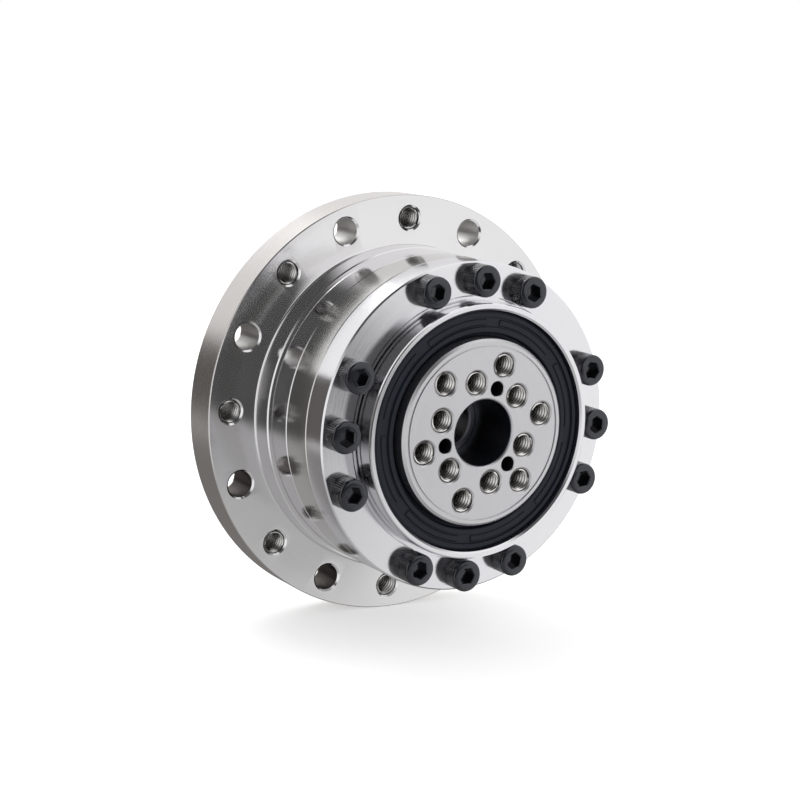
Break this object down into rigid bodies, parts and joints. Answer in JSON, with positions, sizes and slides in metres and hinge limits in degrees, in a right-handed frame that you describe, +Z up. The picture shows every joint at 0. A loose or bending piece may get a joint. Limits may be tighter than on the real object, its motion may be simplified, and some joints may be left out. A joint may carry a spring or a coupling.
{
  "type": "strain wave gear",
  "caption": "Strain wave gear unit: round mounting flange and barrel, screwed bearing rings, rubber seal and a drilled output flange with a bore.",
  "frame": {"origin": "centre of the mounting flange's back face, on the gear axis", "axes": "+Y along the gear axis to the rear (input side), the output face towards -Y, +Z up, +X right seen from the front"},
  "size_m": [0.073, 0.041, 0.073],
  "materials": {
    "ground_steel": "ground",
    "polished_steel": "polished",
    "tooth_steel": "machined",
    "bearing_steel": "polished",
    "black_screws": "black oxide",
    "seal_rubber": "matte",
    "cage_plastic": "moulded"
  },
  "bodies": {
    "housing": {"case": "ground_steel", "rear_bearing_ring": "ground_steel", "front_bearing_ring": "polished_steel", "ring_screws": "black_screws", "seal_rubber": "seal_rubber", "seal_stiffener": "bearing_steel", "circular_spline": "tooth_steel", "spline_screws": "black_screws"},
    "output": {"output_flange": "ground_steel", "flexspline": "tooth_steel", "flexspline_clamp": "bearing_steel", "flexspline_screws": "black_screws", "flexspline_dowels": "bearing_steel"},
    "roller_set": {"crossed_rollers": "bearing_steel", "roller_spacers": "cage_plastic"},
    "wave_generator": {"bearing_outer_race": "bearing_steel", "bearing_inner_race": "bearing_steel", "bearing_balls": "bearing_steel", "bearing_cage": "cage_plastic", "wave_plug": "tooth_steel", "coupling_ring": "tooth_steel", "input_hub": "tooth_steel", "hub_set_screws": "black_screws", "rub_washer": "bearing_steel", "snap_ring": "black_screws"}
  },
  "joints": [
    {"name": "wave_generator_rotation", "type": "hinge", "parent": "housing", "child": "wave_generator", "pos_m": [0, 0, 0], "axis": [0, 1, 0], "continuous": true, "deforming": ["flexspline"]},
    {"name": "output_rotation", "type": "hinge", "parent": "housing", "child": "output", "pos_m": [0, 0, 0], "axis": [0, 1, 0], "continuous": true},
    {"name": "roller_set_rotation", "type": "hinge", "parent": "housing", "child": "roller_set", "pos_m": [0, 0, 0], "axis": [0, 1, 0], "continuous": true}
  ],
  "couplings": [
    {"joint": "output_rotation", "follows": "wave_generator_rotation", "ratio": -0.033333},
    {"joint": "roller_set_rotation", "follows": "wave_generator_rotation", "ratio": -0.01587}
  ]
}
